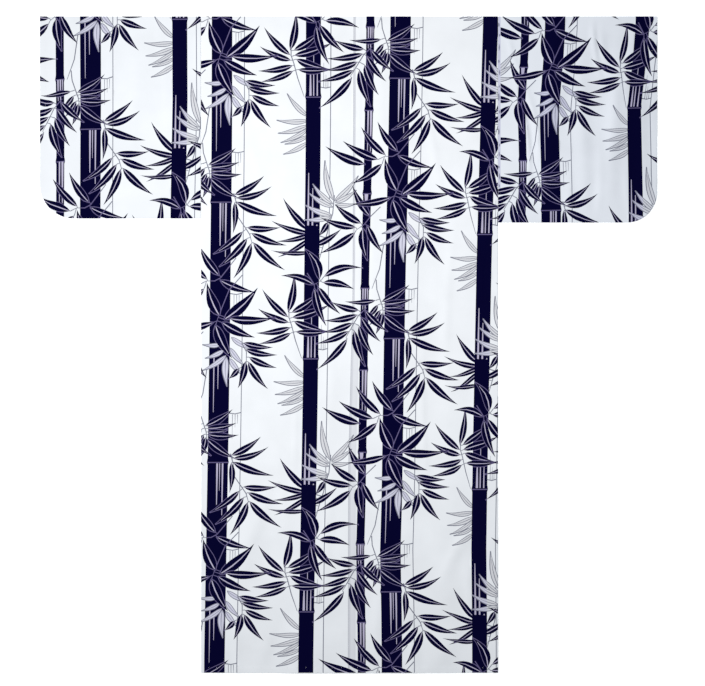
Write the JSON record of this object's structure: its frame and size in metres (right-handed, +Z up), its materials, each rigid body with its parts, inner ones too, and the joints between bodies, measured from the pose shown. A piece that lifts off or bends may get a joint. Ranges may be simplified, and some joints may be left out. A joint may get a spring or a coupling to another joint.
{
  "type": "cotton yukata robe",
  "caption": "Unlined cotton yukata robe laid flat, back up: straight body, squared sleeves with rounded corners, crossed fronts and band collar beneath.",
  "frame": {"origin": "middle of the robe's footprint, on the surface that it lies on", "axes": "+Z up out of the surface, +Y from the hem to the shoulder fold, +X from the wearer's left to right"},
  "size_m": [1.3637, 1.45, 0.0064],
  "materials": {
    "printed_cotton": "matt plain-weave cotton, white with a navy bamboo print"
  },
  "bodies": {
    "root": {"left_body_panel": "printed_cotton", "right_body_panel": "printed_cotton", "left_overlap": "printed_cotton", "right_overlap": "printed_cotton", "collar": "printed_cotton", "left_sleeve": "printed_cotton", "right_sleeve": "printed_cotton"}
  },
  "joints": []
}
